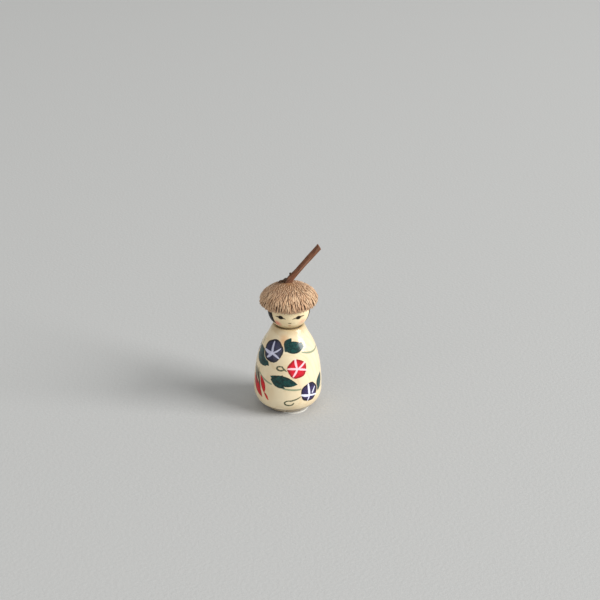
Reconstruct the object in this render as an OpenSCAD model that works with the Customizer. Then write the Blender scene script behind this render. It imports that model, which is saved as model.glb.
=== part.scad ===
// Kokeshi doll in an acorn-cup hat.
// A turned wooden body and a turned head whose neck ends in a knob, snapped into an undercut
// socket, so that the head turns. A natural acorn cup with its stalk is glued on the crown as
// a hat, and a paper disc is stuck under the base.
// Z is up, the face looks along -Y, and the origin is on the body's axis at table height.

/* [Body] */
// Largest diameter of the body
body_d = 21.6; // [20:0.2:26]
// Height of the body without the base disc
body_h = 28; // [26:0.5:31]
// Diameter of the flat underside
foot_d = 13.8; // [11:0.2:14]

/* [Head] */
// Diameter of the head
head_d = 13.4; // [12.6:0.1:13.8]
// Diameter of the neck
neck_d = 3.5; // [3:0.1:4]
// Radial clearance all round the neck and its knob
neck_gap = 0.05; // [0.02:0.01:0.1]

/* [Acorn cup] */
// Largest diameter of the cup
cup_d = 18; // [17.4:0.1:20]
// Height of the cup from its rim to its top
cup_h = 6.8; // [6.4:0.1:8]
// Thickness of the cup at its top
cup_wall = 1.2; // [0.8:0.05:1.4]
// Sideways lean of the cup on the head, in degrees
cup_lean = -2.5; // [-5:0.5:5]

/* [Stalk] */
// Diameter of the stalk at its middle
stalk_d = 1.7; // [1.4:0.05:2.2]
// Length of the stalk above its bent foot
stalk_l = 14.4; // [8:0.2:15]
// Lean of the stalk from upright, in degrees
stalk_lean = 40; // [25:1:42]
// Slant of the cut end, in degrees
cut_slant = 17; // [0:1:30]

/* [Base disc] */
// Diameter of the paper disc
disc_d = 10.4; // [8:0.2:12]
// Thickness of the paper disc
disc_t = 0.3; // [0.2:0.05:0.5]

/* [Hidden] */

round_sides = 96;     // sides of the turned parts
limb_sides = 40;      // sides of the stalk's round stretches
steps = 14;           // points along each curved stretch of an outline

// body
body_r = body_d / 2;
foot_r = foot_d / 2;
body_z = disc_t;                       // underside of the body
top_z = body_z + body_h;               // top edge of the body
belly_z = body_z + 0.22 * body_h;      // height of the largest diameter
shoulder = [0.66 * body_r, body_z + 0.85 * body_h];
shoulder_way = [-cos(56), sin(56)];    // the outline's direction there
collar_r = 4.7;                        // radius of the body's top edge
dish_depth = 1.0;                      // the head sits in a shallow turned dish
dish_floor = top_z - dish_depth;
dish_floor_r = 3.0;
dish_lip = 0.35;                       // width of the edge left round the dish

// head and neck
head_r = head_d / 2;
neck_r = neck_d / 2;
knob_r = neck_r + 0.3;                 // the knob snaps past the mouth of the socket
knob_h = 1.4;
knob_bevel = 0.5;
neck_l = 5.6;                          // from the dish's floor to the knob's end
seat_gap = 0.12;                       // the head runs this far above the dish's floor
flat_r = neck_r + 0.1;                 // radius of the flat under the chin
chin_angle = acos(flat_r / head_r);
head_z = dish_floor + seat_gap + head_r * sin(chin_angle);

// acorn cup
cup_r = cup_d / 2;
rim_r = cup_r - 0.45;                  // the cup draws in again to its rim
rim_wall = 0.9;
hollow_r = rim_r - rim_wall;
hollow_h = cup_h - cup_wall;
girth_h = 1.3;                         // height of the largest diameter above the rim
rim_z = head_z + 2.0;
cup_top = rim_z + cup_h;
mouth_cut = 0.2;                       // the hollow is cut this far past the rim

// stalk
stalk_r = stalk_d / 2;
stalk_foot = [-0.7, 0.6, cup_top - 1.4];
stalk_bend = [0.1, 0.8, cup_top + 0.45];
stalk_back = 0.09;                     // the stalk also leans back a little
stalk_way = [sin(stalk_lean), stalk_back, cos(stalk_lean)];
stalk_end = stalk_bend + stalk_l * stalk_way;
knee_r = stalk_r + 0.2;                // radius at the bend
foot_spread = 2.2;                     // the foot's radius as a multiple of the stalk's
scars = [[-1.2, 1.0, 0], [-1.8, 1.1, -0.2], [-2.4, 1.2, -0.4]];
scar_r = 0.5;

glue_r = 3.6;
disc_at = [1.4, -2.1, 0];              // the disc was stuck on a little off centre

// a point on a cubic curve, and the curve as a list of points
function on_curve(a, b, c, d, t) =
    pow(1 - t, 3) * a + 3 * t * pow(1 - t, 2) * b + 3 * t * t * (1 - t) * c + pow(t, 3) * d;
function curve(a, b, c, d) = [for (i = [0 : steps]) on_curve(a, b, c, d, i / steps)];

// half outline of the body, from the foot over the belly and the shoulder to the collar
body_outline = concat(
    curve([foot_r, body_z], [foot_r + 0.6, body_z + 0.85],
          [body_r, body_z + 0.07 * body_h], [body_r, belly_z]),
    curve([body_r, belly_z], [body_r, body_z + 0.54 * body_h],
          shoulder - 3.3 * shoulder_way, shoulder),
    curve(shoulder, shoulder + 2.3 * shoulder_way,
          [collar_r + 0.6, top_z], [collar_r, top_z]));

// half outline of the head, from the flat under the chin to the crown
head_outline = [for (i = [0 : 2 * steps])
    let (a = -chin_angle + i * (90 + chin_angle) / (2 * steps))
    [head_r * cos(a), head_z + head_r * sin(a)]];

// half outline of the cup's outside, from the rim to its rounded point
cup_outline = concat(
    curve([rim_r, 0], [rim_r + 0.35, 0.25], [cup_r, 0.4 * girth_h], [cup_r, girth_h]),
    curve([cup_r, girth_h], [cup_r, 0.60 * cup_h], [0.52 * cup_r, 0.86 * cup_h], [0, cup_h]));

// half outline of the cup's hollow
hollow_outline = curve([hollow_r, -mouth_cut], [hollow_r, 0.66 * cup_h],
                       [0.56 * hollow_r, hollow_h], [0, hollow_h]);

// half outline of the stalk above the bend, thinnest a third of the way up
stalk_outline = concat(
    curve([knee_r, 0], [stalk_r + 0.1, 0.1 * stalk_l],
          [stalk_r, 0.2 * stalk_l], [stalk_r, 0.35 * stalk_l]),
    [[stalk_r + 0.1, norm(stalk_end - stalk_bend)]]);

// a solid turned from a half outline, closed along the axis at both ends
module turned(outline, sides = round_sides) {
    low = outline[0][1];
    high = outline[len(outline) - 1][1];
    rotate_extrude($fn = sides)
        polygon(concat([[0, low]], outline, [[0, high]]));
}

// places a shape made above the rim's plane on the head, leaning as the cup does
module on_head() {
    translate([0, 0, rim_z]) rotate([0, cup_lean, 0]) children();
}

// turns a shape made along Z to point from one place to another
module aimed(from, to) {
    run = to - from;
    translate(from)
        rotate([0, acos(run[2] / norm(run)), atan2(run[1], run[0])])
            children();
}

// the neck and its knob, made larger all round by gap for the socket
module neck(gap) {
    low = dish_floor - neck_l;
    knob_top = low + knob_h - knob_bevel + gap;
    translate([0, 0, low - gap])
        cylinder(h = head_z - low + gap, r = neck_r + gap, $fn = round_sides);
    translate([0, 0, low - gap])
        cylinder(h = knob_top - low + gap, r = knob_r + gap, $fn = round_sides);
    translate([0, 0, knob_top])
        cylinder(h = knob_bevel, r1 = knob_r + gap, r2 = neck_r + gap, $fn = round_sides);
}

module head_ball() {
    turned(head_outline);
}

module cup_dome() {
    on_head() turned(cup_outline);
}

module cup_hollow() {
    on_head() turned(hollow_outline);
}

module body() {
    color([0.90, 0.82, 0.62])
        difference() {
            turned(body_outline);
            translate([0, 0, dish_floor])
                cylinder(h = dish_depth, r1 = dish_floor_r, r2 = collar_r - dish_lip,
                         $fn = round_sides);
            neck(neck_gap);
        }
}

module head() {
    color([0.93, 0.86, 0.68])
        union() {
            head_ball();
            neck(0);
        }
}

module acorn_cup() {
    color([0.66, 0.51, 0.38])
        difference() {
            cup_dome();
            cup_hollow();
        }
}

// the woody stalk, bent at its spread foot, with the scars of withered flowers beside it
module stalk() {
    color([0.45, 0.30, 0.20])
        difference() {
            union() {
                aimed(stalk_foot, stalk_bend)
                    cylinder(h = norm(stalk_bend - stalk_foot), r1 = foot_spread * stalk_r,
                             r2 = knee_r, $fn = limb_sides);
                translate(stalk_bend) sphere(r = knee_r, $fn = limb_sides);
                aimed(stalk_bend, stalk_end) turned(stalk_outline, limb_sides);
                for (s = scars)
                    translate([s[0], s[1], cup_top + s[2]]) sphere(r = scar_r, $fn = limb_sides);
            }
            cup_dome();
            aimed(stalk_end, stalk_end + stalk_way)
                rotate([0, cut_slant, 0])
                    translate([0, 0, 2 * stalk_d - stalk_r * sin(cut_slant)])
                        cube(4 * stalk_d, center = true);
        }
}

// glue between the crown and the inside of the cup
module glue_pad() {
    color([0.85, 0.80, 0.65])
        difference() {
            intersection() {
                cup_hollow();
                translate([0, 0, head_z])
                    cylinder(h = 2 * head_r, r = glue_r, $fn = round_sides);
            }
            head_ball();
        }
}

module base_disc() {
    color([0.94, 0.93, 0.90])
        translate(disc_at) cylinder(h = disc_t, r = disc_d / 2, $fn = round_sides);
}

body();
head();
acorn_cup();
stalk();
glue_pad();
base_disc();
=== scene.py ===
import math

import bmesh
import bpy
from mathutils import Matrix, Vector, noise


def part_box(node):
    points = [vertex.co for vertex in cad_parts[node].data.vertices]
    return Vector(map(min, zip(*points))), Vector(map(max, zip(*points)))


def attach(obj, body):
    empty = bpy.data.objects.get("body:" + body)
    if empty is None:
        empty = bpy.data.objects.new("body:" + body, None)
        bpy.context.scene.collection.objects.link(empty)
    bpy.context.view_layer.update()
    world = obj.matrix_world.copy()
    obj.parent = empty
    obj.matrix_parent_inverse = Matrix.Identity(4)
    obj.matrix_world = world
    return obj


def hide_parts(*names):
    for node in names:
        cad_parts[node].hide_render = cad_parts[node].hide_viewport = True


mm = 0.001
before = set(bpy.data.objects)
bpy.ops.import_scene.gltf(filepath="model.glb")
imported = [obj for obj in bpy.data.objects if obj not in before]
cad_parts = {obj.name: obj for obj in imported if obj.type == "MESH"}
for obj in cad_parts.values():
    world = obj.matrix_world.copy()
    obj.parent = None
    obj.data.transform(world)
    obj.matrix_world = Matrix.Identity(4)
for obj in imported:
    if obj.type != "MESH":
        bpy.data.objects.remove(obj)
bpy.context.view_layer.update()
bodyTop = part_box("body")[1].z / mm
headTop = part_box("head")[1].z / mm
headRadius = 6.7
headMiddle = headTop - headRadius
print("frame loaded")


class Wire:
    # a value in a node tree, so that node sums can be written as plain sums
    def __init__(self, tree, socket):
        self.tree = tree
        self.socket = socket

    def calc(self, operation, *others, clamp=False):
        return calc(self.tree, operation, self, *others, clamp=clamp)

    def __add__(self, other):
        return self.calc("ADD", other)

    def __radd__(self, other):
        return calc(self.tree, "ADD", other, self)

    def __sub__(self, other):
        return self.calc("SUBTRACT", other)

    def __rsub__(self, other):
        return calc(self.tree, "SUBTRACT", other, self)

    def __mul__(self, other):
        return self.calc("MULTIPLY", other)

    def __truediv__(self, other):
        return self.calc("DIVIDE", other)

    def stretch(self, factors):
        return wire(self.tree, "ShaderNodeVectorMath", {0: self, 1: factors}, operation="MULTIPLY")

    def split(self):
        node = addNode(self.tree, "ShaderNodeSeparateXYZ", {0: self})
        return [Wire(self.tree, socket) for socket in node.outputs]

    def remap(self, low, high, toLow=0.0, toHigh=1.0, kind="LINEAR"):
        values = dict(enumerate((self, low, high, toLow, toHigh)))
        return wire(self.tree, "ShaderNodeMapRange", values, interpolation_type=kind, clamp=True)

    def mix(self, under, over):
        # the share of a colour that lies over another
        node = addNode(self.tree, "ShaderNodeMix", data_type="RGBA", blend_type="MIX")
        for i, value in ((0, self), (6, under), (7, over)):
            feed(self.tree, node.inputs[i], value)
        return Wire(self.tree, node.outputs[2])


def feed(tree, socket, value):
    if isinstance(value, Wire):
        value = value.socket
    if isinstance(value, bpy.types.NodeSocket):
        tree.links.new(value, socket)
    elif value is not None:
        socket.default_value = value


def addNode(tree, kind, inputs=None, **settings):
    node = tree.nodes.new(kind)
    for key, value in settings.items():
        setattr(node, key, value)
    for label, value in (inputs or {}).items():
        feed(tree, node.inputs[label], value)
    return node


def wire(tree, kind, inputs=None, **settings):
    return Wire(tree, addNode(tree, kind, inputs, **settings).outputs[0])


def calc(tree, operation, *values, clamp=False):
    return wire(tree, "ShaderNodeMath", dict(enumerate(values)), operation=operation, use_clamp=clamp)


def hypotenuse(x, y):
    return (x * x + y * y).calc("SQRT")


def joinXyz(tree, x, y, z):
    return wire(tree, "ShaderNodeCombineXYZ", {0: x, 1: y, 2: z})


def wires(tree, node):
    return {socket.name: Wire(tree, socket) for socket in node.outputs}


def speckle(spot, scale, detail=2.0, rough=0.5, stretch=None):
    if stretch:
        spot = spot.stretch(stretch)
    return wires(spot.tree, addNode(spot.tree, "ShaderNodeTexNoise", {
        "Vector": spot, "Scale": scale, "Detail": detail, "Roughness": rough}))["Fac"]


def objectPlace(tree):
    return wires(tree, addNode(tree, "ShaderNodeTexCoord"))["Object"]


def objectMm(tree):
    return objectPlace(tree).stretch((1000, 1000, 1000))


def attribute(tree, name):
    return wires(tree, addNode(tree, "ShaderNodeAttribute", attribute_name=name))["Fac"]


def colour(red, green, blue):
    # a paint-card colour, 0 to 255, as the shader wants it
    def straight(c):
        c = c / 255
        return c / 12.92 if c <= 0.04045 else ((c + 0.055) / 1.055) ** 2.4
    return (straight(red), straight(green), straight(blue), 1.0)


def socketKind(value):
    if isinstance(value, str):
        return value
    if isinstance(value, int):
        return "Int"
    if isinstance(value, float):
        return "Float"
    return "Vector" if len(value) == 3 else "Color"


white = (1, 1, 1, 1)
black = (0, 0, 0, 1)
outputKinds = {"Flat": "Vector", "Colour": "Color", "Over": "Color", "Body": "Color", "Pale": "Color",
               "Geometry": "Geometry"}


def newGroup(name, inputs, outputs, family="Shader"):
    # inputs maps each label to its first value, or to the kind of a socket that has none
    tree = bpy.data.node_groups.new(name, family + "NodeTree")
    for label, value in inputs.items():
        kind = "NodeSocket" + socketKind(value)
        socket = tree.interface.new_socket(label, in_out="INPUT", socket_type=kind)
        if not isinstance(value, str):
            socket.default_value = value
    for label in outputs:
        kind = "NodeSocket" + outputKinds.get(label, "Float")
        tree.interface.new_socket(label, in_out="OUTPUT", socket_type=kind)
    start = tree.nodes.new("NodeGroupInput")
    end = tree.nodes.new("NodeGroupOutput")

    def give(values):
        for label, value in values.items():
            feed(tree, end.inputs[label], value)
        return tree
    return tree, wires(tree, start), give


def useGroup(tree, group, values):
    node = tree.nodes.new("ShaderNodeGroup")
    node.node_tree = group
    for label, value in values.items():
        feed(tree, node.inputs[label], value)
    return wires(tree, node)


def newMaterial(name):
    material = bpy.data.materials.new(name)
    material.use_nodes = True
    tree = material.node_tree
    tree.nodes.clear()
    end = tree.nodes.new("ShaderNodeOutputMaterial")
    shader = tree.nodes.new("ShaderNodeBsdfPrincipled")
    tree.links.new(shader.outputs[0], end.inputs["Surface"])
    return material, tree, shader


def spreadNodes(tree, across=14):
    for i, node in enumerate(tree.nodes):
        node.location = (220 * (i % across), -260 * (i // across))


def dressShader(tree, shader, base, rough, height, strength, distance, others=None):
    # feeds the shader, and bumps its surface by a height that stands for a distance in mm
    for label, value in {"Base Color": base, "Roughness": rough, **(others or {})}.items():
        feed(tree, shader.inputs[label], value)
    values = {"Strength": strength, "Distance": distance * mm, "Height": height}
    feed(tree, shader.inputs["Normal"], wire(tree, "ShaderNodeBump", values))
    spreadNodes(tree)


def makeTurnedPlace():
    # where a point lies on a turned piece: turn in degrees from the front, and mm from the axis and the table
    leastBall = 0.01
    outputs = ("Turn", "Radius", "Height", "Flat")
    tree, given, give = newGroup("turnedPlace", {"Centre": 0.0, "Ball": 0.0}, outputs)
    x, y, z = objectMm(tree).split()
    turn = x.calc("ARCTAN2", y * -1.0).calc("DEGREES")
    radius = hypotenuse(x, y)
    # on a ball the height is measured along its surface from its equator
    above = z - given["Centre"]
    isBall = given["Ball"].calc("GREATER_THAN", leastBall)
    ball = given["Ball"].calc("MAXIMUM", leastBall)
    arc = above.calc("ARCTAN2", radius) * ball
    height = arc * isBall + z * (1.0 - isBall)
    flat = joinXyz(tree, turn.calc("RADIANS") * radius, height, 0.0)
    return give({"Turn": turn, "Radius": radius, "Height": height, "Flat": flat})


placeInputs = {"Turn": 0.0, "Radius": 10.0, "Height": 0.0}
lineInputs = {
    **placeInputs, "From turn": 0.0, "From height": 0.0, "To turn": 10.0, "To height": 0.0, "Bow": 0.0,
    "Start width": 0.2, "Middle width": 0.4, "End width": 0.2, "Softness": 0.08}
discInputs = {
    **placeInputs, "Centre turn": 0.0, "Centre height": 0.0, "Stretch": 1.0, "Size": 3.0, "Wide": 1.0,
    "Petals": 5.0, "Lobe": 0.0, "Roll": 0.0, "Softness": 0.1, "Wobble": 0.0}
strokeInputs = {"Under": white, "Tint": black, **lineInputs, "Edge": 0.0, "Rough": 1.0}
strokeOutputs = ("Over", "Turn", "Radius", "Height")


def turnBetween(turn, start):
    return (turn - start).calc("WRAP", 180.0, -180.0)


def softMask(inside, softness):
    # 1 inside an edge and 0 outside, with a soft step between
    return (inside / softness).calc("ADD", 0.5, clamp=True)


def makeBrushStroke():
    # one pull of the brush between two places on the surface
    tree, given, give = newGroup("brushStroke", {**lineInputs, "Wobble": 0.0}, ("Mask", "Along", "Across"))

    def around(turn):
        return turnBetween(turn, given["From turn"]).calc("RADIANS") * given["Radius"]
    x = around(given["Turn"])
    y = given["Height"] - given["From height"]
    runX = around(given["To turn"])
    runY = given["To height"] - given["From height"]
    run = (runX * runX + runY * runY).calc("MAXIMUM", 0.0001).calc("SQRT")
    wayX = runX / run
    wayY = runY / run
    reach = x * wayX + y * wayY
    side = y * wayX - x * wayY
    along = reach.calc("DIVIDE", run, clamp=True)
    past = reach - along * run
    swell = (1.0 - along) * along * 4.0
    side = side - given["Bow"] * swell
    gap = hypotenuse(side, past)
    ends = given["Start width"] + along * (given["End width"] - given["Start width"])
    mean = (given["Start width"] + given["End width"]) * 0.5
    belly = (given["Middle width"] - mean) * swell
    half = (ends + belly) * 0.5
    mask = softMask(half - gap + given["Wobble"], given["Softness"])
    return give({"Mask": mask, "Along": along, "Across": side / half.calc("MAXIMUM", 0.01)})


def makePetalDisc():
    # a round five-petalled bloom seen from the front, with a narrow halo round it
    haloWide, haloSoft = 0.22, 0.16
    tree, given, give = newGroup("petalDisc", discInputs, ("Mask", "Rim", "Halo"))
    x = turnBetween(given["Turn"], given["Centre turn"]).calc("RADIANS") * given["Radius"]
    y = (given["Height"] - given["Centre height"]) * given["Stretch"]
    x = x / given["Wide"]
    away = hypotenuse(x, y)
    clock = x.calc("ARCTAN2", y)
    wave = (given["Petals"] * (clock - given["Roll"].calc("RADIANS"))).calc("COSINE")
    edge = given["Size"] * (1.0 + wave * given["Lobe"])
    inside = edge - away + given["Wobble"]
    return give({"Mask": softMask(inside, given["Softness"]), "Rim": away / edge,
                 "Halo": softMask(inside + haloWide, haloSoft)})


def makeTurnedWood():
    # pale close-grained wood turned on a lathe: year rings cut by the outline, fine fibres, tool lines
    tree, given, give = newGroup("turnedWood", {
        "Light": colour(234, 218, 184), "Warm": colour(220, 191, 147), "Pith X": 4.0, "Pith Y": 9.0,
        "Ring gap": 1.5, "Ring share": 0.3, "Fibre share": 0.2}, ("Colour", "Roughness", "Relief"))
    spot = objectMm(tree)
    x, y, _ = spot.split()
    drift = (speckle(spot, 1.0, 3.0, 0.5, (0.12, 0.12, 0.05)) - 0.5) * 5.0
    away = hypotenuse(x - given["Pith X"], y - given["Pith Y"])
    year = ((away + drift) / given["Ring gap"]).calc("FRACT")
    # each year is pale at first and ends in a narrow darker line
    late = year.remap(0.55, 0.93, kind="SMOOTHSTEP") * year.remap(0.94, 1.0, 1.0, 0.0)
    fibre = speckle(spot, 1.0, 4.0, 0.6, (5.0, 5.0, 0.35))
    pore = speckle(spot, 1.0, 2.0, 0.5, (9.0, 9.0, 0.9)).remap(0.62, 0.75)
    patch = speckle(spot, 1.0, 2.0, 0.5, (0.16, 0.16, 0.12)).remap(0.35, 0.7, kind="SMOOTHSTEP")
    share = late * given["Ring share"] + (fibre - 0.4) * given["Fibre share"] + patch * 0.35
    tint = share.calc("ADD", pore * 0.18, clamp=True).mix(given["Light"], given["Warm"])
    lathe = speckle(spot, 1.0, 3.0, 0.6, (0.25, 0.25, 5.5))
    return give({"Colour": tint, "Roughness": fibre * 0.12 + 0.42, "Relief": lathe * 0.7 + fibre * 0.4})


def makePaintGround():
    # what all paint on a piece shares: uneven edges, washes of thin paint, dry streaks
    tree, given, give = newGroup("paintGround", {"Flat": (0, 0, 0)}, (
        "Edge", "Thin", "Dry", "Pool", "Streak", "Fine", "Rim share"))
    edge = speckle(given["Flat"], 1.6, 3.0, 0.6)
    wash = speckle(given["Flat"], 0.9, 3.0, 0.55)
    fine = speckle(given["Flat"], 5.0, 2.0, 0.5)
    return give({
        "Edge": (edge - 0.5) * 0.35, "Thin": fine.remap(0.3, 0.6, 0.75, 1.0),
        "Dry": fine.remap(0.62, 0.8, 0.0, 0.22), "Pool": wash.remap(0.36, 0.64),
        "Streak": fine.remap(0.45, 0.75, 0.0, 0.14), "Fine": fine,
        "Rim share": wash.remap(0.35, 0.6, 0.5, 1.0)})


def handOn(given, mask):
    # the next stroke takes its place from this one, so that strokes are worked out one after another;
    # worked out all at once, this many don't fit in one material
    nothing = mask * 0.0000001
    return {label: given[label] + nothing for label in placeInputs}


def strokeInside(tree, given):
    # the bare stroke, used inside the groups that lay a line or a leaf
    values = {label: given[label] for label in lineInputs}
    values["Wobble"] = given["Edge"] * given["Rough"]
    return useGroup(tree, brushStroke, values)


def makeLineStroke():
    # a thin line laid over the colour so far
    inputs = {**strokeInputs, "Thin": 1.0, "Strength": 1.0}
    tree, given, give = newGroup("lineStroke", inputs, strokeOutputs)
    mask = strokeInside(tree, given)["Mask"] * given["Thin"] * given["Strength"]
    return give({"Over": mask.mix(given["Under"], given["Tint"]), **handOn(given, mask)})


def makeLeafStroke():
    # a full pull of the brush, darker where the paint pools at its sides, paler where it ran dry
    inputs = {**strokeInputs, "Edge tint": black, "Wood": white, "Rim share": 1.0, "Dry": 0.0}
    tree, given, give = newGroup("leafStroke", inputs, strokeOutputs)
    stroke = strokeInside(tree, given)
    side = stroke["Across"].calc("ABSOLUTE")
    rim = side.remap(0.5, 0.95, kind="SMOOTHSTEP") * given["Rim share"]
    tint = given["Dry"].mix(rim.mix(given["Tint"], given["Edge tint"]), given["Wood"])
    return give({"Over": stroke["Mask"].mix(given["Under"], tint), **handOn(given, stroke["Mask"])})


def makeBloomDisc():
    # the disc of a bloom over a narrow line of bare wood
    inputs = {"Under": white, "Tint": black, "Edge tint": black, "Wood": white, "Rim share": 1.0,
              "Rim start": 0.72, "Halo": 1.0, "Strength": 1.0, **discInputs}
    tree, given, give = newGroup("bloomDisc", inputs, strokeOutputs)
    disc = useGroup(tree, petalDisc, {label: given[label] for label in discInputs})
    under = (disc["Halo"] * given["Halo"]).mix(given["Under"], given["Wood"])
    rim = disc["Rim"].remap(given["Rim start"], 0.97, kind="SMOOTHSTEP") * given["Rim share"]
    tint = rim.mix(given["Tint"], given["Edge tint"])
    mask = disc["Mask"] * given["Strength"]
    return give({"Over": mask.mix(under, tint), **handOn(given, mask)})


def makePaintKind():
    # one paint as it dries: thin and thick places, and the pale paint for lines over it
    tree, given, give = newGroup("paintKind", {
        "Fill": black, "Deep": black, "Ray": white, "Pool": 0.0, "Streak": 0.0}, ("Body", "Pale"))
    body = given["Pool"].mix(given["Fill"], given["Deep"])
    return give({"Body": (given["Streak"] * 0.4).mix(body, given["Ray"]),
                 "Pale": given["Streak"].mix(given["Ray"], given["Fill"])})


def makePaintCover():
    # 1 where there is paint and 0 on bare wood, read from how far the colour is from the wood's
    tree, given, give = newGroup("paintCover", {"Tint": black, "Wood": black}, ("Cover",))
    node = addNode(tree, "ShaderNodeVectorMath", {0: given["Tint"], 1: given["Wood"]}, operation="DISTANCE")
    return give({"Cover": wires(tree, node)["Value"].remap(0.02, 0.22)})


turnedPlace = makeTurnedPlace()
brushStroke = makeBrushStroke()
petalDisc = makePetalDisc()
turnedWood = makeTurnedWood()
paintGround = makePaintGround()
lineStroke = makeLineStroke()
leafStroke = makeLeafStroke()
bloomDisc = makeBloomDisc()
paintKind = makePaintKind()
paintCover = makePaintCover()
print("shared groups made")


def newPainting(tree, place, wood):
    ground = useGroup(tree, paintGround, {"Flat": place["Flat"]})
    return {"tree": tree, "place": place, "wood": wood, "ground": ground, "tint": wood}


def layPaint(painting, group, values):
    # every stroke and disc lies on the colour so far and hands its place on to the next
    full = {label: painting["place"][label] for label in placeInputs}
    full["Under"] = painting["tint"]
    full.update(values)
    laid = useGroup(painting["tree"], group, full)
    painting["tint"] = laid["Over"]
    painting["place"] = laid


def mixPaint(painting, kind):
    mixed = useGroup(painting["tree"], paintKind, {
        "Fill": kind["fill"], "Deep": kind["deep"], "Ray": kind.get("ray", kind["fill"]),
        "Pool": painting["ground"]["Pool"], "Streak": painting["ground"]["Streak"]})
    return {**kind, "body": mixed["Body"], "pale": mixed["Pale"]}


def pullBrush(painting, group, tint, start, end, widths, bow, softness, rough, more):
    layPaint(painting, group, {
        "Tint": tint, "Edge": painting["ground"]["Edge"], "Rough": rough,
        "From turn": start[0], "From height": start[1], "To turn": end[0], "To height": end[1],
        "Start width": widths[0], "Middle width": widths[1], "End width": widths[2],
        "Bow": bow, "Softness": softness, **more})


def paintLine(painting, start, end, widths, tint, bow=0.0, softness=0.12, strength=1.0, rough=0.3):
    pullBrush(painting, lineStroke, tint, start, end, widths, bow, softness, rough,
              {"Thin": painting["ground"]["Thin"], "Strength": strength})


def paintLeaf(painting, start, end, widths, bow, kind):
    ground = painting["ground"]
    pullBrush(painting, leafStroke, kind["body"], start, end, widths, bow, 0.14, 1.0, {
        "Edge tint": kind["edge"], "Wood": painting["wood"], "Rim share": ground["Rim share"],
        "Dry": ground["Dry"]})


def paintDisc(painting, at, values):
    layPaint(painting, bloomDisc, {
        "Wood": painting["wood"], "Centre turn": at[0], "Centre height": at[1], **values})


def paintSpot(painting, tint, at, size, values):
    # a plain round dab of one colour
    plain = {"Tint": tint, "Edge tint": tint, "Halo": 0.0, "Lobe": 0.0, "Size": size}
    paintDisc(painting, at, {**plain, **values})


def paintFlower(painting, flower, kind):
    paintDisc(painting, (flower["turn"], flower["height"]), {
        "Tint": kind["body"], "Edge tint": kind["edge"], "Rim share": kind["rimShare"],
        "Stretch": flower["stretch"], "Size": flower["size"], "Wide": flower["wide"], "Lobe": flower["lobe"],
        "Roll": flower["roll"], "Softness": 0.12, "Wobble": painting["ground"]["Edge"]})
    pale, share = kind["pale"], kind["rayShare"]
    for turn, height, startWidth, endWidth, bow in flower["rays"]:
        widths = (1.1 * startWidth, 0.8 * (startWidth + endWidth), 1.1 * endWidth)
        paintLine(painting, flower["heart"], (turn, height), widths, pale, bow, 0.12, share, 0.6)
    for start, end, width in flower.get("dashes", []):
        paintLine(painting, start, end, (width, width, width * 0.6), pale, 0.0, 0.12, share, 0.5)


# the doll's body: places are (turn in degrees to the viewer's right, height in mm), sizes in mm
bodyPaint = {
    "vine": colour(112, 132, 104), "tendril": colour(52, 66, 40), "stem": colour(30, 34, 22),
    "ring": colour(44, 24, 20), "ringHeight": 2.2, "ringWidth": 0.6, "coat": 0.6, "coatRoughness": 0.18,
    # a warm painted shade on the body just under the chin, on the side away from the light
    "stain": colour(206, 146, 82), "underChinShadeAt": (-13, 25.2), "underChinShadeSize": 1.35, "underChinShadeShare": 0.7,
    # painted shade on the body just under the head: its colour, where it starts and how strong
    "collar": colour(150, 122, 66), "collarLow": 26.2, "collarShare": 0.5,
    # painted shade at the foot, under the belly's overhang: its colour, how high it reaches and how strong
    "foot": colour(176, 138, 92), "footShadeHigh": 2.4, "footShadeShare": 0.6,
    # the dark band round the foot's edge is partly a painted line and partly painted shadow where the body
    # meets the paper
    "edgeLineAndShadow": colour(34, 20, 18), "edgeLineAndShadowHeight": 0.7, "edgeLineAndShadowWidth": 0.7}

paints = {
    "leaf": {"fill": colour(4, 68, 64), "deep": colour(0, 38, 36), "edge": colour(0, 28, 24)},
    "bud": {"fill": colour(214, 0, 16), "deep": colour(176, 0, 10), "edge": colour(120, 0, 4)},
    "indigo": {"fill": colour(42, 42, 80), "deep": colour(16, 14, 40), "edge": colour(6, 4, 10),
               "ray": colour(214, 214, 236), "rimShare": 0.95, "rayShare": 0.95},
    "red": {"fill": colour(214, 4, 40), "deep": colour(178, 0, 24), "edge": colour(120, 0, 4),
            "ray": colour(255, 214, 222), "rimShare": 0.7, "rayShare": 1.0},
    "purple": {"fill": colour(54, 36, 94), "deep": colour(16, 8, 36), "edge": colour(8, 4, 18),
               "ray": colour(236, 236, 252), "rimShare": 0.9, "rayShare": 1.0}}

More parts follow.
